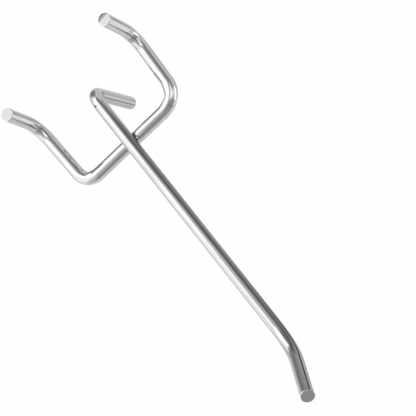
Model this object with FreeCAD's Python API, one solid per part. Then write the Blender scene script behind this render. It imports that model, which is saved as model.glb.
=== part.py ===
import FreeCAD
import Part
import math
import os

# Pegboard hook made of two bent steel wires, welded where they cross.
# Millimetres. Z is up, X runs along the board, and the arm points to -Y.
# Y = 0 is the front of the board. Z = 0 is the height at which the legs enter it.

Vec = FreeCAD.Vector

# Wire, the same for both pieces
wire_dia = 5.0
end_round = 0.4  # soft edge of each sheared end

# Yoke: crossbar, two legs and two pegs
peg_spacing = 50.8  # two board holes, two inches apart
bar_span = 47.8  # between the leg lines at the crossbar
bar_standoff = 26.5  # board front to crossbar, along the legs
peg_setback = 4.1  # board front to the peg corner, along the legs
bar_bend_left = 6.0  # bend radii are those of the wire's centreline
bar_bend_right = 8.4
peg_bend = 8.6
peg_turn_deg = 83.5  # from the legs' direction up to the pegs
peg_length = 22.0  # from the bend's corner

# Arm: brace against the board, straight run and upturned tip
arm_rise_deg = 2.5  # the arm climbs away from the board
brace_bend = 7.4
brace_length = 37.8  # from the bend's corner down
arm_reach = 99.5  # crossbar to the tip's corner
tip_bend = 21.5
tip_turn_deg = 48.8
tip_length = 32.8  # from the bend's corner

# Weld where the arm lies on the crossbar
weld_setdown = 0.8  # how far the wires sink into each other
weld_fillet = 0.5

wire_r = wire_dia / 2
arm_lift = wire_dia - weld_setdown  # arm's centreline above the crossbar's
rise = math.radians(arm_rise_deg)
forward = Vec(0, -math.cos(rise), math.sin(rise))
upward = Vec(0, math.sin(rise), math.cos(rise))
down = Vec(0, 0, -1)


def turned(angle_deg, start):
    # Direction reached by turning start up towards the arm's own upright
    angle = math.radians(angle_deg)
    return start * math.cos(angle) + upward * math.sin(angle)


def straight(start, end):
    run = end - start
    return Part.makeCylinder(wire_r, run.Length, start, run)


def bend(start, heading, centre, axis, angle_deg):
    # A quarter-torus or less, swept from a disc across the wire
    disc = Part.Face(Part.Wire(Part.makeCircle(wire_r, start, heading)))
    return disc.revolve(centre, axis, angle_deg)


def bent_wire(corners, radii):
    # Runs of round wire between corners, with an arc in place of each corner
    pieces = []
    start = corners[0]
    for before, corner, after, radius in zip(corners, corners[1:], corners[2:], radii):
        heading = (corner - before).normalize()
        leaving = (after - corner).normalize()
        turn = heading.getAngle(leaving)
        setback = radius * math.tan(turn / 2)
        bend_start = corner - heading * setback
        axis = heading.cross(leaving).normalize()
        centre = bend_start + axis.cross(heading) * radius
        pieces.append(straight(start, bend_start))
        pieces.append(bend(bend_start, heading, centre, axis, math.degrees(turn)))
        start = corner + leaving * setback
    pieces.append(straight(start, corners[-1]))
    wire = pieces[0].multiFuse(pieces[1:]).removeSplitter()
    return round_ends(wire)


def round_ends(wire):
    # The two sheared ends are the only flat faces
    ends = [f for f in wire.Faces if f.Surface.TypeId == "Part::GeomPlane"]
    return wire.makeFillet(end_round, [e for f in ends for e in f.Edges])


def leg_point(x, along):
    # A point in the plane of the legs, counted out from the board's front
    return Vec(x, 0, 0) + forward * along


def yoke_wire():
    peg_way = turned(peg_turn_deg, forward * -1)
    left_corner = leg_point(-peg_spacing / 2, -peg_setback)
    right_corner = leg_point(peg_spacing / 2, -peg_setback)
    corners = [
        left_corner + peg_way * peg_length,
        left_corner,
        leg_point(-bar_span / 2, bar_standoff),
        leg_point(bar_span / 2, bar_standoff),
        right_corner,
        right_corner + peg_way * peg_length,
    ]
    return bent_wire(corners, [peg_bend, bar_bend_left, bar_bend_right, peg_bend])


def arm_wire():
    # The brace's back touches the board, which places its corner on the arm's line
    to_brace = (wire_r + arm_lift * math.sin(rise)) / math.cos(rise)
    brace_corner = leg_point(0, to_brace) + upward * arm_lift
    tip_corner = leg_point(0, bar_standoff + arm_reach) + upward * arm_lift
    corners = [
        brace_corner + down * brace_length,
        brace_corner,
        tip_corner,
        tip_corner + turned(tip_turn_deg, forward) * tip_length,
    ]
    return bent_wire(corners, [brace_bend, tip_bend])


def seat_on(yoke, arm):
    # The weld's fillet and the arm's seat both belong to the yoke
    joined = yoke.fuse(arm)
    # Where the wires meet is the only edge that is neither straight nor a circle
    seam = [e for e in joined.Edges if e.Curve.TypeId == "Part::GeomBSplineCurve"]
    return joined.makeFillet(weld_fillet, seam).cut(arm)


arm = arm_wire()
yoke = seat_on(yoke_wire(), arm)

os.makedirs("parts", exist_ok=True)
arm.exportStep("parts/arm_wire.step")
yoke.exportStep("parts/yoke_wire.step")
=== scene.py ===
import math

import bmesh
import bpy
import numpy as np
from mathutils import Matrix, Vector, kdtree, noise


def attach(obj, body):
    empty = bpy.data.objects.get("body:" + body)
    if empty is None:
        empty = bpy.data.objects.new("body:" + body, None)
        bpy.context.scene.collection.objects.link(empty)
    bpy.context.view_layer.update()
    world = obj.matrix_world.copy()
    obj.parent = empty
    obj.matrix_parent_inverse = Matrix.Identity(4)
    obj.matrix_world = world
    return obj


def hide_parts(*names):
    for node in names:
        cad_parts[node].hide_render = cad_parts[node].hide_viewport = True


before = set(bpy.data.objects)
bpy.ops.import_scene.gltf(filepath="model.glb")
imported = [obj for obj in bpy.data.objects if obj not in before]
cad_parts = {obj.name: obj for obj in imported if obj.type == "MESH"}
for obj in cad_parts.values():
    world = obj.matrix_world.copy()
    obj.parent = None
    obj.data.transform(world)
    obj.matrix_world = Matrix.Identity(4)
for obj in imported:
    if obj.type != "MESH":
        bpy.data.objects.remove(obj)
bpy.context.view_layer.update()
scene = bpy.context.scene
mm = 0.001  # sizes below are in mm and angles in degrees, unless a note says otherwise
print("frame loaded:", sorted(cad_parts))


def hexToLinear(hexText):
    channels = [int(hexText[i:i + 2], 16) / 255 for i in (1, 3, 5)]
    linear = [c / 12.92 if c <= 0.04045 else ((c + 0.055) / 1.055) ** 2.4 for c in channels]
    return (*linear, 1.0)


def addNode(tree, kind, settings=None, inputs=None):
    # an input, by socket name or number, gets a constant, a socket, or a node for its first output
    node = tree.nodes.new(kind)
    for name, value in (settings or {}).items():
        setattr(node, name, value)
    for key, value in (inputs or {}).items():
        if isinstance(value, bpy.types.Node):
            value = value.outputs[0]
        if isinstance(value, bpy.types.NodeSocket):
            tree.links.new(value, node.inputs[key])
        else:
            node.inputs[key].default_value = value
    return node


def newMaterial(name):
    material = bpy.data.materials.new(name)
    material.use_nodes = True
    material.node_tree.nodes.clear()
    return material, material.node_tree


def addObject(name, data):
    added = bpy.data.objects.new(name, data)
    scene.collection.objects.link(added)
    return added


# Finish

plating = dict(
    bright="#dcdcda",          # fresh zinc
    dull="#cdcdcc",            # where the bath left it greyer
    cloud=7.0,                 # width of such a patch
    cloudStretch=3.0,          # its length along the wire, in widths
    cloudRange=(0.38, 0.68),   # of its noise, from bright to dull
    drawLine=0.45,             # between drawing lines, drawn wide to show: real ones are about 0.1
    drawLineLength=45.0,
    drawLineHeight=0.005,
    streak="#c2c2c0",          # film left in a drawing line
    streakRange=(0.48, 0.66),  # of the lines' noise, from clean to filmed over
    roughness=0.03,
    streakRoughness=0.09,
    pit=0.9,                   # between pin-point pits
    pitRange=(0.02, 0.10),     # from a pit's floor to its rim, in that spacing
    pitDepth=0.12,             # in drawing line heights
    raw="#c3c3c1",             # bare steel of sheared faces and weld
    rawRoughness=0.30,
    paintedShade="#2b2927",           # painted shade: dark in the weld's seam and in the folds of the bend ripples
    paintedShadeRoughness=0.55,
    paintedShadeGrain=0.5,            # crumbs that it breaks into
    paintedShadeRange=(0.25, 0.60),   # of their noise, from thin to full
    paintedShadeThin=0.70,            # its strength where it is thin
)


def platedSteel(name, shift):
    # Bright zinc over cold-drawn wire: a mirror drawn out into lines along the wire,
    # a little greyer in cloudy patches, duller on sheared ends, with painted shade dark in the weld's
    # seam and in bend folds
    material, tree = newMaterial(name)
    # wireCoord is the place on the wire as if it were pulled straight: across, across, along
    coord = addNode(tree, "ShaderNodeAttribute", dict(attribute_name="wireCoord")).outputs["Vector"]
    raw = addNode(tree, "ShaderNodeAttribute", dict(attribute_name="rawMetal")).outputs["Fac"]
    # painted shade: how much dark colour goes on, in the weld's seam and in bend folds
    dark = addNode(tree, "ShaderNodeAttribute", dict(attribute_name="paintedShade")).outputs["Fac"]

    across = 1 / (plating["drawLine"] * mm)
    along = 1 / (plating["drawLineLength"] * mm)
    stretched = addNode(tree, "ShaderNodeMapping", inputs={
        "Vector": coord, "Location": (shift, shift, shift), "Scale": (across, across, along)})
    lines = addNode(tree, "ShaderNodeTexNoise", inputs={
        "Vector": stretched, "Scale": 1.0, "Detail": 3.0, "Roughness": 0.6})

    cloudAcross = 1 / (plating["cloud"] * mm)
    cloudAlong = cloudAcross / plating["cloudStretch"]
    patches = addNode(tree, "ShaderNodeMapping", inputs={
        "Vector": coord, "Location": (shift * 2, 0, shift),
        "Scale": (cloudAcross, cloudAcross, cloudAlong)})
    clouds = addNode(tree, "ShaderNodeTexNoise", inputs={
        "Vector": patches, "Scale": 1.0, "Detail": 4.0, "Roughness": 0.55})

    # greyer in patches, and greyer and rougher along some lines
    # a Mix node takes colours at 6 and 7 and gives one at 2, and takes numbers at 2 and 3
    cloudy = addNode(tree, "ShaderNodeMapRange", inputs={
        "Value": clouds, "From Min": plating["cloudRange"][0], "From Max": plating["cloudRange"][1]})
    patchy = addNode(tree, "ShaderNodeMix", dict(data_type="RGBA"), {
        "Factor": cloudy, 6: hexToLinear(plating["bright"]), 7: hexToLinear(plating["dull"])})
    streaky = addNode(tree, "ShaderNodeMapRange", dict(interpolation_type="SMOOTHSTEP"), {
        "Value": lines, "From Min": plating["streakRange"][0], "From Max": plating["streakRange"][1]})
    zinc = addNode(tree, "ShaderNodeMix", dict(data_type="RGBA"), {
        "Factor": streaky, 6: patchy.outputs[2], 7: hexToLinear(plating["streak"])})
    smooth = addNode(tree, "ShaderNodeMapRange", inputs={
        "Value": streaky, "To Min": plating["roughness"], "To Max": plating["streakRoughness"]})
    metal = addNode(tree, "ShaderNodeMix", dict(data_type="RGBA"), {
        "Factor": raw, 6: zinc.outputs[2], 7: hexToLinear(plating["raw"])})
    plain = addNode(tree, "ShaderNodeMix", dict(data_type="FLOAT"), {
        0: raw, 2: smooth, 3: plating["rawRoughness"]})

    # painted shade in the weld's seam and in bend folds, broken up into crumbs
    crumbs = addNode(tree, "ShaderNodeTexNoise", inputs={
        "Vector": coord, "Scale": 1 / (plating["paintedShadeGrain"] * mm), "Detail": 2.0})
    broken = addNode(tree, "ShaderNodeMapRange", inputs={
        "Value": crumbs, "From Min": plating["paintedShadeRange"][0], "From Max": plating["paintedShadeRange"][1],
        "To Min": plating["paintedShadeThin"], "To Max": 1.0})
    shaded = addNode(tree, "ShaderNodeMath", dict(operation="MULTIPLY"), {0: dark, 1: broken})
    # painted shade mixed into the colour
    colour = addNode(tree, "ShaderNodeMix", dict(data_type="RGBA"), {
        "Factor": shaded, 6: metal.outputs[2], 7: hexToLinear(plating["paintedShade"])})
    roughness = addNode(tree, "ShaderNodeMix", dict(data_type="FLOAT"), {
        0: shaded, 2: plain, 3: plating["paintedShadeRoughness"]})

    # drawing lines and pits in relief
    pitScale = 1 / (plating["pit"] * mm)
    grains = addNode(tree, "ShaderNodeMapping", inputs={
        "Vector": coord, "Location": (0, shift, 0), "Scale": (pitScale, pitScale, pitScale)})
    pits = addNode(tree, "ShaderNodeTexVoronoi", inputs={"Vector": grains, "Scale": 1.0})
    pitFloor = addNode(tree, "ShaderNodeMapRange", inputs={
        "Value": pits, "From Min": plating["pitRange"][0], "From Max": plating["pitRange"][1],
        "To Min": -plating["pitDepth"], "To Max": 0.0})
    height = addNode(tree, "ShaderNodeMath", dict(operation="ADD"), {0: lines, 1: pitFloor})
    bump = addNode(tree, "ShaderNodeBump", inputs={
        "Strength": 1.0, "Distance": plating["drawLineHeight"] * mm, "Height": height})

    surface = addNode(tree, "ShaderNodeBsdfPrincipled", inputs={
        "Base Color": colour.outputs[2], "Metallic": 1.0, "Roughness": roughness, "Normal": bump})
    addNode(tree, "ShaderNodeOutputMaterial", inputs={"Surface": surface})
    return material


armPlating = platedSteel("bright zinc on drawn wire, arm", 3.7)
yokePlating = platedSteel("bright zinc on drawn wire, yoke", 11.3)
print("finish made")


# Wire sweep: corners joined by runs and arcs, round in section, with soft sheared ends

wire = dict(
    diameter=5.0,
    endRound=0.25,    # soft edge of a sheared end
    sides=72,
    arcSteps=60,
    faceRings=12,     # rings across a sheared face
    roundRings=7,     # rings round its edge
    merge=0.002,      # points this close become one
)


def wireTree():
    tree = bpy.data.node_groups.new("bentWire", "GeometryNodeTree")
    sockets = tree.interface
    sockets.new_socket("Corners", in_out="INPUT", socket_type="NodeSocketGeometry")
    ids = {}
    for name, kind in (("Wire radius", "Float"), ("End round", "Float"), ("Ring spacing", "Float"),
                       ("Sides", "Int"), ("Arc steps", "Int"), ("Face rings", "Int"),
                       ("Round rings", "Int"), ("Finish", "Material")):
        ids[name] = sockets.new_socket(name, in_out="INPUT", socket_type="NodeSocket" + kind).identifier
    sockets.new_socket("Wire", in_out="OUTPUT", socket_type="NodeSocketGeometry")
    given = addNode(tree, "NodeGroupInput").outputs

    # centreline
    bendRadius = addNode(tree, "GeometryNodeInputNamedAttribute", inputs={"Name": "bendRadius"})
    corners = addNode(tree, "GeometryNodeMeshToCurve", inputs={"Mesh": given["Corners"]})
    line = addNode(tree, "GeometryNodeFilletCurve", dict(mode="POLY"), {
        "Curve": corners, "Count": given["Arc steps"], "Radius": bendRadius.outputs["Attribute"]})

    # a flat grid becomes the wire's skin: its X runs from the middle of one end face, over the side,
    # to the middle of the other, and its Y goes round
    position = addNode(tree, "GeometryNodeInputPosition")
    place = addNode(tree, "ShaderNodeSeparateXYZ", inputs={0: position})
    known = {socket.name: socket for socket in given}
    known["length"] = addNode(tree, "GeometryNodeCurveLength", inputs={"Curve": line})
    known["gridX"], known["gridY"] = place.outputs[0], place.outputs[1]
    for name, operation, *terms in (
            ("faceSteps", "MULTIPLY", "Face rings", "Ring spacing"),
            ("roundSteps", "MULTIPLY", "Round rings", "Ring spacing"),
            ("endSteps", "ADD", "faceSteps", "roundSteps"),
            ("side", "MULTIPLY_ADD", "End round", -2.0, "length"),
            ("outline", "MULTIPLY_ADD", "endSteps", 2.0, "side"),
            ("steps", "DIVIDE", "outline", "Ring spacing"),
            ("wholeSteps", "ROUND", "steps"),
            ("rings", "ADD", "wholeSteps", 1.0),
            ("columns", "ADD", "Sides", 1.0),
            ("shareX", "ADD", "gridX", 0.5),
            ("alongOutline", "MULTIPLY", "shareX", "outline"),
            ("shareY", "ADD", "gridY", 0.5),
            ("around", "MULTIPLY", "shareY", math.tau),
            # the nearer end, and how far over its face and its round this point is
            ("toFarEnd", "SUBTRACT", "outline", "alongOutline"),
            ("fromEnd", "MINIMUM", "alongOutline", "toFarEnd"),
            ("faceShare", "DIVIDE", "fromEnd", "faceSteps"),
            ("onFace", "MINIMUM", "faceShare", 1.0),
            ("pastFace", "SUBTRACT", "fromEnd", "faceSteps"),
            ("roundShare", "DIVIDE", "pastFace", "roundSteps"),
            ("roundStart", "MAXIMUM", "roundShare", 0.0),
            ("onRound", "MINIMUM", "roundStart", 1.0),
            ("quarter", "MULTIPLY", "onRound", math.pi / 2),
            # radius there
            ("flat", "SUBTRACT", "Wire radius", "End round"),
            ("faceRadius", "MULTIPLY", "flat", "onFace"),
            ("sine", "SINE", "quarter"),
            ("radius", "MULTIPLY_ADD", "sine", "End round", "faceRadius"),
            # and place along the centreline
            ("cosine", "COSINE", "quarter"),
            ("dip", "SUBTRACT", 1.0, "cosine"),
            ("roundDepth", "MULTIPLY", "End round", "dip"),
            ("pastRound", "SUBTRACT", "fromEnd", "endSteps"),
            ("onSide", "MAXIMUM", "pastRound", 0.0),
            ("setback", "ADD", "roundDepth", "onSide"),
            ("middle", "MULTIPLY", "outline", 0.5),
            ("farHalf", "GREATER_THAN", "alongOutline", "middle"),
            ("direction", "MULTIPLY_ADD", "farHalf", -2.0, 1.0),
            ("start", "MULTIPLY", "farHalf", "length"),
            ("along", "MULTIPLY_ADD", "setback", "direction", "start"),
            ("cosAround", "COSINE", "around"),
            ("sinAround", "SINE", "around"),
            ("acrossA", "MULTIPLY", "radius", "cosAround"),
            ("acrossB", "MULTIPLY", "radius", "sinAround"),
            # bare metal is the flat of an end face, short of its edge
            ("rawMetal", "LESS_THAN", "onFace", 0.999)):
        terms = {i: known.get(term, term) for i, term in enumerate(terms)}
        known[name] = addNode(tree, "ShaderNodeMath", dict(operation=operation, label=name), terms)
    grid = addNode(tree, "GeometryNodeMeshGrid", inputs={
        "Size X": 1.0, "Size Y": 1.0, "Vertices X": known["rings"], "Vertices Y": known["columns"]})

    # ring of points round the centreline
    spot = addNode(tree, "GeometryNodeSampleCurve", dict(mode="LENGTH"), {
        "Curves": line, "Length": known["along"]})
    cross = addNode(tree, "ShaderNodeVectorMath", dict(operation="CROSS_PRODUCT"), {
        0: spot.outputs["Tangent"], 1: spot.outputs["Normal"]})
    partA = addNode(tree, "ShaderNodeVectorMath", dict(operation="SCALE"), {
        "Vector": spot.outputs["Normal"], "Scale": known["acrossA"]})
    partB = addNode(tree, "ShaderNodeVectorMath", dict(operation="SCALE"), {
        "Vector": cross, "Scale": known["acrossB"]})
    offset = addNode(tree, "ShaderNodeVectorMath", dict(operation="ADD"), {0: partA, 1: partB})
    point = addNode(tree, "ShaderNodeVectorMath", dict(operation="ADD"), {
        0: spot.outputs["Position"], 1: offset})

    # what the finish reads: the place on the straightened wire, and where the metal is sheared
    straightened = addNode(tree, "ShaderNodeCombineXYZ", inputs={
        0: known["acrossA"], 1: known["acrossB"], 2: known["along"]})
    shape = addNode(tree, "GeometryNodeStoreNamedAttribute", dict(data_type="FLOAT_VECTOR"), {
        "Geometry": grid, "Name": "wireCoord", "Value": straightened})
    shape = addNode(tree, "GeometryNodeStoreNamedAttribute", inputs={
        "Geometry": shape, "Name": "rawMetal", "Value": known["rawMetal"]})
    shape = addNode(tree, "GeometryNodeSetPosition", inputs={"Geometry": shape, "Position": point})
    shape = addNode(tree, "GeometryNodeMergeByDistance", inputs={
        "Geometry": shape, "Distance": wire["merge"] * mm})
    shape = addNode(tree, "GeometryNodeSetShadeSmooth", inputs={"Geometry": shape})
    shape = addNode(tree, "GeometryNodeRealizeInstances", inputs={"Geometry": shape})
    shape = addNode(tree, "GeometryNodeSetMaterial", inputs={
        "Geometry": shape, "Material": given["Finish"]})
    addNode(tree, "NodeGroupOutput", inputs={"Wire": shape})
    return tree, ids


sweep, sweepInputs = wireTree()


def plainMesh(piece):
    # what the modifiers give becomes the piece's own mesh
    bpy.context.view_layer.update()
    shaped = piece.evaluated_get(bpy.context.evaluated_depsgraph_get())
    mesh = bpy.data.meshes.new_from_object(shaped)
    piece.modifiers.clear()
    piece.data = mesh
    mesh.name = piece.name


def faceOutwards(mesh):
    edit = bmesh.new()
    edit.from_mesh(mesh)
    bmesh.ops.recalc_face_normals(edit, faces=edit.faces)
    edit.to_mesh(mesh)
    edit.free()


def bentWire(name, corners, bends, ringSpacing, finish):
    mesh = bpy.data.meshes.new(name)
    mesh.from_pydata([c * mm for c in corners], [(i, i + 1) for i in range(len(corners) - 1)], [])
    radii = mesh.attributes.new("bendRadius", "FLOAT", "POINT")
    radii.data.foreach_set("value", [0.0] + [b * mm for b in bends] + [0.0])
    piece = addObject(name, mesh)
    values = {"Wire radius": wire["diameter"] / 2 * mm, "End round": wire["endRound"] * mm,
              "Ring spacing": ringSpacing * mm, "Sides": wire["sides"],
              "Arc steps": wire["arcSteps"], "Face rings": wire["faceRings"],
              "Round rings": wire["roundRings"], "Finish": finish}
    modifier = piece.modifiers.new("bentWire", "NODES")
    modifier.node_group = sweep
    for label, value in values.items():
        modifier[sweepInputs[label]] = value
    plainMesh(piece)
    faceOutwards(piece.data)
    return piece


# Where the wires go

arm = dict(
    rise=2.5,          # that the run climbs away from the board
    setdown=0.8,       # how far it sinks into the crossbar
    braceBend=7.4,
    braceLength=37.8,  # from the bend's corner
    reach=99.5,        # crossbar to the tip's corner
    tipBend=21.5,
    tipTurn=48.8,
    tipLength=32.8,    # from the bend's corner
    ringSpacing=0.25,  # of the mesh
)
yoke = dict(
    pegSpacing=50.8,   # two holes of the board
    barSpan=47.8,      # between the leg lines at the crossbar
    barStandoff=26.5,  # board to crossbar, along the legs
    pegSetback=4.1,    # board to the pegs' corners, along the legs
    barBends=(6.0, 8.4),
    pegBend=8.6,
    pegTurn=83.5,
    pegLength=22.0,    # from the bend's corner
    ringSpacing=0.16,  # of the mesh, fine enough for the bend marks
)

climb = math.radians(arm["rise"])
sideways = Vector((1, 0, 0))
forward = Vector((0, -math.cos(climb), math.sin(climb)))
upward = Vector((0, math.sin(climb), math.cos(climb)))
wireRadius = wire["diameter"] / 2
lift = wire["diameter"] - arm["setdown"]  # crossbar's axis to the arm's


def legPoint(x, out):
    return sideways * x + forward * out


def turned(degrees, start):
    angle = math.radians(degrees)
    return start * math.cos(angle) + upward * math.sin(angle)


# Arm: brace down against the board, straight run, upturned tip

braceCorner = legPoint(0, (wireRadius + lift * math.sin(climb)) / math.cos(climb)) + upward * lift
tipCorner = legPoint(0, yoke["barStandoff"] + arm["reach"]) + upward * lift
braceWay = Vector((0, 0, -1))
tipWay = turned(arm["tipTurn"], forward)
armCorners = [
    braceCorner + braceWay * arm["braceLength"],
    braceCorner,
    tipCorner,
    tipCorner + tipWay * arm["tipLength"],
]
armBends = [arm["braceBend"], arm["tipBend"]]
armWire = bentWire("armWire", armCorners, armBends, arm["ringSpacing"], armPlating)
print("arm made:", len(armWire.data.polygons), "faces")


# Yoke: crossbar, legs and pegs

pegWay = turned(yoke["pegTurn"], -forward)
pegCorners = [legPoint(side * yoke["pegSpacing"] / 2, -yoke["pegSetback"]) for side in (-1, 1)]
yokeCorners = [
    pegCorners[0] + pegWay * yoke["pegLength"],
    pegCorners[0],
    legPoint(-yoke["barSpan"] / 2, yoke["barStandoff"]),
    legPoint(yoke["barSpan"] / 2, yoke["barStandoff"]),
    pegCorners[1],
    pegCorners[1] + pegWay * yoke["pegLength"],
]
yokeBends = [yoke["pegBend"], *yoke["barBends"], yoke["pegBend"]]
yokeWire = bentWire("yokeWire", yokeCorners, yokeBends, yoke["ringSpacing"], yokePlating)
print("yoke made:", len(yokeWire.data.polygons), "faces")


# Marks of bending and shearing, pressed into the wires' own faces

# inside of each of the yoke's bends, where the bending pin bore: slide along the wire from the
# bend's middle, half width round the wire in degrees, dent that the pin left, metal swollen up
# either side of it, and ripples that folded up, with painted shade in their creases
bendMarks = dict(
    pegLeft=dict(bend=0, slide=-0.5, halfWidth=75, dent=0.30, dentLength=8.0,
                 ripples=dict(count=1, pitch=1.1, depth=0.02, paintedShade=0.3)),
    barLeft=dict(bend=1, slide=0.0, halfWidth=85, dent=0.16, dentLength=3.4,
                 swell=dict(height=0.22, length=12.5)),
    barRight=dict(bend=2, slide=0.0, halfWidth=85, dent=0.22, dentLength=4.5,
                  swell=dict(height=0.30, length=16.0)),
    pegRight=dict(bend=3, slide=0.5, halfWidth=75, dent=0.32, dentLength=8.0,
                  ripples=dict(count=3, pitch=0.95, depth=0.07, paintedShade=0.8)),
)
rippleEnds = 0.3          # share of a pitch over which ripples die away along the wire
rippleSides = (0.5, 0.8)  # shares of the half width between which they die away round it


def fadeOut(value, full, none):
    t = np.clip((none - value) / (none - full), 0, 1)
    return t * t * (3 - 2 * t)


def meshArrays(mesh):
    # points, their outward ways, their places on the straightened wire, and how bare the metal is
    count = len(mesh.vertices)
    points = np.zeros(count * 3)
    ways = np.zeros(count * 3)
    spots = np.zeros(count * 3)
    raw = np.zeros(count)
    mesh.vertices.foreach_get("co", points)
    mesh.vertex_normals.foreach_get("vector", ways)
    mesh.attributes["wireCoord"].data.foreach_get("vector", spots)
    mesh.attributes["rawMetal"].data.foreach_get("value", raw)
    return points.reshape(-1, 3), ways.reshape(-1, 3), spots.reshape(-1, 3), raw


def movePoints(mesh, points):
    mesh.vertices.foreach_set("co", points.ravel())
    mesh.update()


# stores painted shade: where dark colour goes on, keeping the larger amount
def addPaintedShade(mesh, amount):
    if "paintedShade" not in mesh.attributes:
        mesh.attributes.new("paintedShade", "FLOAT", "POINT")
    old = np.zeros(len(mesh.vertices))
    mesh.attributes["paintedShade"].data.foreach_get("value", old)
    mesh.attributes["paintedShade"].data.foreach_set("value", np.maximum(old, amount))


def bendInside(bend):
    # middle of the inside of one of the yoke's bends, and the way that it faces
    before, corner, after = yokeCorners[bend:bend + 3]
    heading = (corner - before).normalized()
    leaving = (after - corner).normalized()
    facing = (leaving - heading).normalized()
    depth = yokeBends[bend] * (1 / math.cos(heading.angle(leaving) / 2) - 1)
    return corner + facing * (depth + wireRadius), facing


def pressBend(bend, slide, halfWidth, dent, dentLength, swell=None, ripples=None):
    mesh = yokeWire.data
    points, ways, spots = meshArrays(mesh)[:3]
    place, facing = bendInside(bend)
    nearest = np.argmin(((points - np.array(place) * mm) ** 2).sum(1))
    along = (spots[:, 2] - spots[nearest, 2]) / mm - slide
    turn = np.degrees(np.arccos(np.clip(ways @ np.array(facing), -1, 1)))
    depth = dent * fadeOut(np.abs(along), 0, dentLength / 2)
    if swell:
        reach = np.clip(np.abs(along) * 2 / swell["length"], 0, 1)
        depth -= swell["height"] * np.sin(math.pi * reach) ** 2
    depth *= fadeOut(turn, 0, halfWidth)
    if ripples:
        half = ripples["count"] * ripples["pitch"] / 2
        fade = rippleEnds * ripples["pitch"]
        wave = 0.5 - 0.5 * np.cos(math.tau * along / ripples["pitch"] + math.pi * ripples["count"])
        wave *= fadeOut(np.abs(along), half - fade, half + fade)
        wave *= fadeOut(turn, rippleSides[0] * halfWidth, rippleSides[1] * halfWidth)
        depth += ripples["depth"] * wave
        # painted shade in the ripples' creases, strongest where they are pressed deepest
        addPaintedShade(mesh, ripples["paintedShade"] * wave ** 2)
    movePoints(mesh, points - ways * (depth * mm)[:, None])


# side of each end face that rolled over as it was cropped, where that starts and its slope,
# and side that was dragged out to a burr, and how far
shearedEnds = dict(
    pegLeft=dict(piece=yokeWire, centre=yokeCorners[0], axis=pegWay, rolled=(0, 1, 0.3),
                 rollStart=1.5, rollSlope=0.12, burr=(0.8, -0.5, 0), drag=0.05),
    pegRight=dict(piece=yokeWire, centre=yokeCorners[-1], axis=pegWay, rolled=(-0.1, 1, 0),
                  rollStart=0.6, rollSlope=0.34, burr=(-0.8, -0.5, 0), drag=0.06),
    tip=dict(piece=armWire, centre=armCorners[-1], axis=tipWay, rolled=(0, 1, 0.3),
             rollStart=1.7, rollSlope=0.12, burr=(0.78, -0.53, -0.34), drag=0.18),
    brace=dict(piece=armWire, centre=armCorners[0], axis=braceWay, rolled=(0.5, -0.8, 0),
               rollStart=1.2, rollSlope=0.14, burr=(-0.5, 0, 0), drag=0.05),
)
burrFull = 0.1   # depth below the end face to which a burr is at its widest
burrEnd = 0.9    # and where it ends
burrPower = 4    # the higher, the less of the edge it takes up


def squareTo(axis, way):
    # what a way has square to the axis, as a unit
    across = np.array(way) - axis * (np.array(way) @ axis)
    return across / np.linalg.norm(across)


def cropEnd(piece, centre, axis, rolled, rollStart, rollSlope, burr, drag):
    # lowers the rolled-over side of an end face, and drags its other side out a little
    points = meshArrays(piece.data)[0]
    axis = np.array(axis)
    rolled = squareTo(axis, rolled)
    burr = squareTo(axis, burr)
    out = points / mm - np.array(centre)
    here = np.linalg.norm(out, axis=1) < wire["diameter"]
    depth = -(out @ axis)
    drop = np.maximum(out @ rolled - rollStart, 0) * rollSlope * (here & (depth < wire["endRound"]))
    edge = np.maximum(out @ burr / wireRadius, 0) ** burrPower
    pulled = edge * fadeOut(depth, burrFull, burrEnd) * here * drag
    movePoints(piece.data, points + (burr * pulled[:, None] - axis * drop[:, None]) * mm)


for mark in bendMarks.values():
    pressBend(**mark)
for end in shearedEnds.values():
    cropEnd(**end)
print("marks pressed:", len(bendMarks), "bends,", len(shearedEnds), "ends")


# Weld: metal squeezed out along the seam, with one bead of spatter, grown into the yoke

weld = dict(
    fillet=0.32,       # squeezed-out metal along the seam
    uneven=0.45,       # share by which it swells and shrinks
    wideNoise=2.1,     # scale of its wide swellings, on a circle of radius 1
    fineNoise=7.3,     # and of its fine ones
    fineShare=0.5,     # how strong those are beside the wide
    noiseLevel=0.3,    # height of that circle in the noise: another one gives another seam
    buried=0.01,       # its edges end this far inside the wires
    core=0.3,          # its back lies this share of the way out from the wires' axes
    steps=180,
    arcSteps=8,
    sharpAngle=40,     # steeper edges of the seat stay sharp
)
bead = dict(
    turn=24.0,         # round the bar from its top
    side=2.9,          # and along the bar from the arm's middle
    radius=0.80,
    flat=0.4,          # its height, as a share of its width
    face=(0.32, -0.18, 0.93),
    lumps=0.12,        # share by which it is uneven
    lumpScale=1.6,     # of that noise, per mm
    bare=0.75,         # share of its radius that the painted seam shade doesn't reach
)
# painted shade in the crevice where the wires meet, darkest in the seam
seamShade = dict(
    full=0.5,          # darkest this close to the seam
    end=1.3,           # and fades out here
    search=8.0,        # no point further than this from the weld's middle is looked at
)
crossing = legPoint(0, yoke["barStandoff"])


def fromCrossing(x, y, z):
    return (crossing + sideways * x + forward * y + upward * z) * mm


def seamBall(turn, ball):
    # centre of the ball that would roll along the seam, touching both wires
    reach = wireRadius + ball
    z = lift / 2 + (reach - lift / 2) * math.cos(2 * turn)
    y = math.copysign(math.sqrt(max(reach ** 2 - z ** 2, 0)), math.sin(turn))
    x = math.copysign(math.sqrt(max(reach ** 2 - (z - lift) ** 2, 0)), math.cos(turn))
    return Vector((x, y, z))


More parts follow.
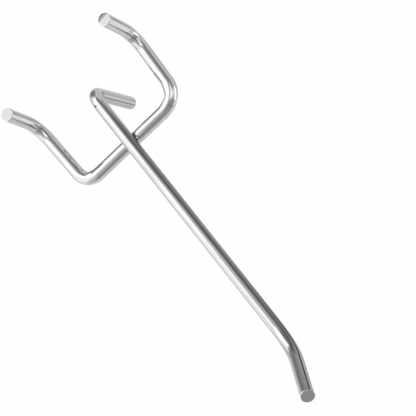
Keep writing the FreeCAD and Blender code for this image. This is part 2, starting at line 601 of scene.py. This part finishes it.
def seamSection(turn):
    spot = Vector((math.cos(turn), math.sin(turn), weld["noiseLevel"]))
    wide = noise.noise(spot * weld["wideNoise"])
    fine = noise.noise(spot * weld["fineNoise"])
    ball = weld["fillet"] * (1 + weld["uneven"] * (wide + weld["fineShare"] * fine))
    centre = seamBall(turn, ball)
    touch = (wireRadius - weld["buried"]) / (wireRadius + ball)
    onBar = Vector((centre.x, centre.y * touch, centre.z * touch)) - centre
    onArm = Vector((centre.x * touch, centre.y, lift + (centre.z - lift) * touch)) - centre
    arc = [centre + onBar.slerp(onArm, i / weld["arcSteps"]) for i in range(weld["arcSteps"] + 1)]
    core = weld["core"]
    backArm = Vector((centre.x * core, centre.y, lift + (centre.z - lift) * core))
    backBar = Vector((centre.x, centre.y * core, centre.z * core))
    return arc + [backArm, backBar]


def weldPiece(name, edit, rawMetal):
    bmesh.ops.recalc_face_normals(edit, faces=edit.faces)
    mesh = bpy.data.meshes.new(name)
    edit.to_mesh(mesh)
    edit.free()
    mesh.materials.append(yokePlating)
    mesh.shade_smooth()
    spots = mesh.attributes.new("wireCoord", "FLOAT_VECTOR", "POINT")
    spots.data.foreach_set("vector", [c for v in mesh.vertices for c in v.co])
    raw = mesh.attributes.new("rawMetal", "FLOAT", "POINT")
    raw.data.foreach_set("value", [rawMetal] * len(mesh.vertices))
    return addObject(name, mesh)


def weldSeam():
    edit = bmesh.new()
    rows = []
    for i in range(weld["steps"]):
        section = seamSection(math.tau * i / weld["steps"])
        rows.append([edit.verts.new(fromCrossing(*v)) for v in section])
    for row, nextRow in zip(rows, rows[1:] + rows[:1]):
        for i in range(len(row)):
            j = (i + 1) % len(row)
            edit.faces.new((row[i], row[j], nextRow[j], nextRow[i]))
    return weldPiece("weldSeam", edit, 1.0)


def beadPlace():
    turn = math.radians(bead["turn"])
    return fromCrossing(bead["side"], wireRadius * math.sin(turn), wireRadius * math.cos(turn))


def weldBead():
    edit = bmesh.new()
    bmesh.ops.create_icosphere(edit, subdivisions=4, radius=bead["radius"] * mm)
    place = beadPlace()
    face = Vector(bead["face"]).normalized()
    for v in edit.verts:
        flat = v.co - face * v.co.dot(face) * (1 - bead["flat"])
        lump = bead["lumps"] * noise.noise(v.co / mm * bead["lumpScale"])
        v.co = flat * (1 + lump) + place
    return weldPiece("weldBead", edit, 0.0)


def growInto(piece, added, cutter):
    sources = [piece.data] + [a.data for a in added]
    for tool, operation in [(a, "UNION") for a in added] + [(cutter, "DIFFERENCE")]:
        step = piece.modifiers.new(operation, "BOOLEAN")
        step.solver = "MANIFOLD"
        step.operation = operation
        step.object = tool
    plainMesh(piece)
    # points made by the cut take what the nearest old point has
    olds = [meshArrays(m) for m in sources]
    oldPoints = np.concatenate([o[0] for o in olds])
    oldSpots = np.concatenate([o[2] for o in olds])
    oldRaw = np.concatenate([o[3] for o in olds])
    tree = kdtree.KDTree(len(oldPoints))
    for i, co in enumerate(oldPoints):
        tree.insert(co, i)
    tree.balance()
    points, _, spots, raw = meshArrays(piece.data)
    for i in np.nonzero((spots == 0).all(1))[0]:
        nearest = tree.find(points[i])[1]
        spots[i], raw[i] = oldSpots[nearest], oldRaw[nearest]
    piece.data.attributes["wireCoord"].data.foreach_set("vector", spots.ravel())
    piece.data.attributes["rawMetal"].data.foreach_set("value", raw)
    piece.data.set_sharp_from_angle(angle=math.radians(weld["sharpAngle"]))
    for a in added:
        bpy.data.objects.remove(a)


def paintSeamShade(piece):
    # painted shade in the crevice along the seam, darkest in it, with the bead left clear
    turns = [math.tau * i / weld["steps"] for i in range(weld["steps"])]
    seam = np.array([fromCrossing(*seamBall(turn, 0)) for turn in turns])
    points = meshArrays(piece.data)[0]
    away = np.full(len(points), np.inf)
    near = np.nonzero(((points - seam.mean(0)) ** 2).sum(1) < (seamShade["search"] * mm) ** 2)[0]
    away[near] = np.sqrt(((points[near, None] - seam[None]) ** 2).sum(2)).min(1)
    amount = fadeOut(away / mm, seamShade["full"], seamShade["end"])
    fromBead = ((points - np.array(beadPlace())) ** 2).sum(1)
    amount[fromBead < (bead["bare"] * bead["radius"] * mm) ** 2] = 0
    addPaintedShade(piece.data, amount)


growInto(yokeWire, [weldSeam(), weldBead()], armWire)
paintSeamShade(yokeWire)
paintSeamShade(armWire)
print("weld made:", len(yokeWire.data.polygons), "faces in the yoke")

for piece, node, slot in ((armWire, "arm_wire", "arm_plating"), (yokeWire, "yoke_wire", "yoke_plating")):
    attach(piece, "root")
    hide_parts(node)


# Studio: a pale table under a big soft box, with a dim side for the metal to show

studio = dict(
    tableLight=0.80,   # what metal sees of the table
    roomLight=0.68,    # and of the room above it
    horizon=7.0,       # with the blend either side
    horizonBlend=4.5,
    # centre azimuth and elevation, half width and half height, edge blend, and level
    # azimuth 0 is out along the arm, and 90 is to the right peg's side
    panels=(
        ("under the hook", 0, -90, 200, 24, 9, 0.45),
        ("camera side", 10, 42, 40, 42, 14, 0.39),
        ("dim side", 154, -27, 80, 39, 5, 0.74),
        ("dim corner", 130, 36, 55, 16, 12, 0.26),
        ("gap behind", -175, -10, 24, 21, 10, 0.25),
        ("soft box edge", -82, 16, 16, 33, 12, 1.25),
        ("soft box", -116, 35, 44, 37, 7, 1.20),
        ("soft box middle", -152, 44, 35, 28, 3, 1.50),
        ("low panel", 59, -11, 19, 13, 4, 1.90),
        ("high panel", 78, 66, 26, 16, 9, 1.60),
        ("right strip", 62, 32, 11, 18, 6, 1.00),
        ("front glow", 22, -57, 34, 7, 10, 1.35),
        ("table seam", 15, -66, 17, 2, 3, 0.33),
        ("low right shade", 96, -58, 18, 8, 10, 0.45),
    ),
)


def studioWorld():
    world = bpy.data.worlds.new("studio")
    world.use_nodes = True
    tree = world.node_tree
    tree.nodes.clear()
    way = addNode(tree, "ShaderNodeSeparateXYZ", inputs={
        0: addNode(tree, "ShaderNodeTexCoord").outputs["Generated"]})
    toFront = addNode(tree, "ShaderNodeMath", dict(operation="MULTIPLY"), {0: way.outputs[1], 1: -1.0})
    azimuth = addNode(tree, "ShaderNodeMath", dict(operation="ARCTAN2"), {0: way.outputs[0], 1: toFront})
    elevation = addNode(tree, "ShaderNodeMath", dict(operation="ARCSINE"), {0: way.outputs[2]})
    level = addNode(tree, "ShaderNodeMapRange", dict(interpolation_type="SMOOTHSTEP"), {
        "Value": elevation, "From Min": math.radians(studio["horizon"] - studio["horizonBlend"]),
        "From Max": math.radians(studio["horizon"] + studio["horizonBlend"]),
        "To Min": studio["tableLight"], "To Max": studio["roomLight"]})
    # each panel covers what is there so far
    for name, az, el, halfWidth, halfHeight, blend, light in studio["panels"]:
        covers = []
        for angle, centre, half in ((azimuth, az, halfWidth), (elevation, el, halfHeight)):
            off = addNode(tree, "ShaderNodeMath", dict(operation="SUBTRACT"), {
                0: angle, 1: math.radians(centre)})
            off = addNode(tree, "ShaderNodeMath", dict(operation="WRAP"), {
                0: off, 1: math.pi, 2: -math.pi})
            off = addNode(tree, "ShaderNodeMath", dict(operation="ABSOLUTE"), {0: off})
            covers.append(addNode(tree, "ShaderNodeMapRange", dict(interpolation_type="SMOOTHSTEP"), {
                "Value": off, "From Min": math.radians(half - blend),
                "From Max": math.radians(half + blend), "To Min": 1.0, "To Max": 0.0}))
        cover = addNode(tree, "ShaderNodeMath", dict(operation="MULTIPLY"), {0: covers[0], 1: covers[1]})
        level = addNode(tree, "ShaderNodeMix", dict(data_type="FLOAT", label=name), {
            0: cover, 2: level, 3: light})
    lit = addNode(tree, "ShaderNodeBackground", inputs={"Color": (1, 1, 1, 1), "Strength": level})
    white = addNode(tree, "ShaderNodeBackground", inputs={"Color": (1, 1, 1, 1), "Strength": 1.0})
    seen = addNode(tree, "ShaderNodeLightPath").outputs["Is Camera Ray"]
    shown = addNode(tree, "ShaderNodeMixShader", inputs={0: seen, 1: lit, 2: white})
    addNode(tree, "ShaderNodeOutputWorld", inputs={"Surface": shown})
    scene.world = world


studioWorld()

# corners of the flat pieces of the studio
square = ((-1, -1), (1, -1), (1, 1), (-1, 1))

table = dict(
    drop=70.0,         # below the legs' line at the board
    size=6000.0,
    colour="#f4f4f2",
    glow=0.98,         # share of the camera's view that is plain white
)


def whiteLaminate():
    # Matt white laminate, lit through from below: plain white, with only a breath of shadow
    material, tree = newMaterial("matt white laminate, lit from below")
    matt = addNode(tree, "ShaderNodeBsdfDiffuse", inputs={"Color": hexToLinear(table["colour"])})
    glow = addNode(tree, "ShaderNodeEmission", inputs={"Color": (1, 1, 1, 1), "Strength": 1.0})
    seen = addNode(tree, "ShaderNodeLightPath").outputs["Is Camera Ray"]
    share = addNode(tree, "ShaderNodeMath", dict(operation="MULTIPLY"), {0: seen, 1: table["glow"]})
    both = addNode(tree, "ShaderNodeMixShader", inputs={0: share, 1: matt, 2: glow})
    addNode(tree, "ShaderNodeOutputMaterial", inputs={"Surface": both})
    return material


def paleTable():
    half = table["size"] / 2
    mesh = bpy.data.meshes.new("table")
    mesh.from_pydata([(a * half * mm, b * half * mm, -table["drop"] * mm) for a, b in square],
                     [], [(0, 1, 2, 3)])
    mesh.materials.append(whiteLaminate())
    top = addObject("table", mesh)
    top.visible_glossy = False  # the studio's own pale half stands for it in the metal


paleTable()

# grey card beside the arm that glows dimly: a painted reflection, seen only by the metal and only from
# the arm's side, standing in for the darker surroundings there
card = dict(
    centre=(42, -95, -12),
    turn=108,          # of its width, round from the right
    halfWidth=115,
    halfHeight=60,
    fade=0.3,          # share of either half over which its edges fade
    lowLevel=0.42,     # what the metal sees of it below gradeFrom
    highLevel=0.15,    # and above gradeTo
    gradeFrom=-8,
    gradeTo=40,
    cutSlope=1.1,      # its lower edge climbs toward the board
    cutAt=-84,
    cutSoft=8,
    rodTurn=41,        # dark rod leaning across it: turn of its width from the card's
    rodMiddle=-12.8,
    rodHalf=6.0,
    rodSoft=7.0,
    rodLevel=0.06,
)


def dimReflectionGlow():
    # A dim glow, darker toward the top and along the rod, an even tone with soft edges: painted
    # reflection for the metal
    material, tree = newMaterial("dim glow for painted reflection, soft edged")
    spot = addNode(tree, "ShaderNodeAttribute", dict(attribute_name="cardPlace")).outputs["Vector"]
    place = addNode(tree, "ShaderNodeSeparateXYZ", inputs={0: spot})
    covers = []
    for i, half in enumerate((card["halfWidth"], card["halfHeight"])):
        out = addNode(tree, "ShaderNodeMath", dict(operation="ABSOLUTE"), {0: place.outputs[i]})
        covers.append(addNode(tree, "ShaderNodeMapRange", dict(interpolation_type="SMOOTHSTEP"), {
            "Value": out, "From Min": half * (1 - card["fade"]), "From Max": half,
            "To Min": 1.0, "To Max": 0.0}))
    cover = addNode(tree, "ShaderNodeMath", dict(operation="MULTIPLY"), {0: covers[0], 1: covers[1]})
    aboveCut = addNode(tree, "ShaderNodeVectorMath", dict(operation="DOT_PRODUCT"), {
        0: spot, 1: (-card["cutSlope"], 1, 0)}).outputs["Value"]
    kept = addNode(tree, "ShaderNodeMapRange", dict(interpolation_type="SMOOTHSTEP"), {
        "Value": aboveCut, "From Min": card["cutAt"] - card["cutSoft"],
        "From Max": card["cutAt"] + card["cutSoft"]})
    cover = addNode(tree, "ShaderNodeMath", dict(operation="MULTIPLY"), {0: cover, 1: kept})
    graded = addNode(tree, "ShaderNodeMapRange", dict(interpolation_type="SMOOTHSTEP"), {
        "Value": place.outputs[1], "From Min": card["gradeFrom"], "From Max": card["gradeTo"],
        "To Min": card["lowLevel"], "To Max": card["highLevel"]})
    rodTurn = math.radians(card["rodTurn"])
    rodWay = addNode(tree, "ShaderNodeVectorMath", dict(operation="DOT_PRODUCT"), {
        0: spot, 1: (math.cos(rodTurn), math.sin(rodTurn), 0)}).outputs["Value"]
    fromRod = addNode(tree, "ShaderNodeMath", dict(operation="SUBTRACT"), {
        0: rodWay, 1: card["rodMiddle"]})
    fromRod = addNode(tree, "ShaderNodeMath", dict(operation="ABSOLUTE"), {0: fromRod})
    level = addNode(tree, "ShaderNodeMapRange", dict(interpolation_type="SMOOTHSTEP"), {
        "Value": fromRod, "From Min": card["rodHalf"], "From Max": card["rodHalf"] + card["rodSoft"],
        "To Min": card["rodLevel"], "To Max": graded})
    clear = addNode(tree, "ShaderNodeBsdfTransparent")
    # painted reflection: emission that the metal sees as a grey card
    felt = addNode(tree, "ShaderNodeEmission", inputs={"Color": (1, 1, 1, 1), "Strength": level})
    front = addNode(tree, "ShaderNodeMixShader", inputs={0: cover, 1: clear, 2: felt})
    behind = addNode(tree, "ShaderNodeNewGeometry").outputs["Backfacing"]
    both = addNode(tree, "ShaderNodeMixShader", inputs={0: behind, 1: front, 2: clear})
    addNode(tree, "ShaderNodeOutputMaterial", inputs={"Surface": both})
    return material


def glowingReflectionCard():
    turn = math.radians(card["turn"])
    across = Vector((math.cos(turn), math.sin(turn), 0))
    middle = Vector(card["centre"])
    flat = [(a * card["halfWidth"], b * card["halfHeight"], 0) for a, b in square]
    mesh = bpy.data.meshes.new("glowingReflectionCard")
    mesh.from_pydata([(middle + across * x + Vector((0, 0, y))) * mm for x, y, z in flat],
                     [], [(3, 2, 1, 0)])
    places = mesh.attributes.new("cardPlace", "FLOAT_VECTOR", "POINT")
    places.data.foreach_set("vector", [v for corner in flat for v in corner])
    mesh.materials.append(dimReflectionGlow())
    flag = addObject("glowingReflectionCard", mesh)
    for ray in ("camera", "diffuse", "shadow"):
        setattr(flag, "visible_" + ray, False)


glowingReflectionCard()
print("studio made:", len(studio["panels"]), "panels")


# Camera, as the photograph was taken

view = dict(
    place=(168.81, -253.96, 662.67),
    turn=(3.0806, 20.449, -40.5413),
    lens=169.118,
    sensor=36.0,
)
lens = bpy.data.cameras.new("camera")
lens.lens = view["lens"]
lens.sensor_width = view["sensor"]
camera = addObject("camera", lens)
camera.location = [v * mm for v in view["place"]]
camera.rotation_euler = [math.radians(v) for v in view["turn"]]
scene.camera = camera
scene.view_settings.view_transform = "Standard"
print("camera set")
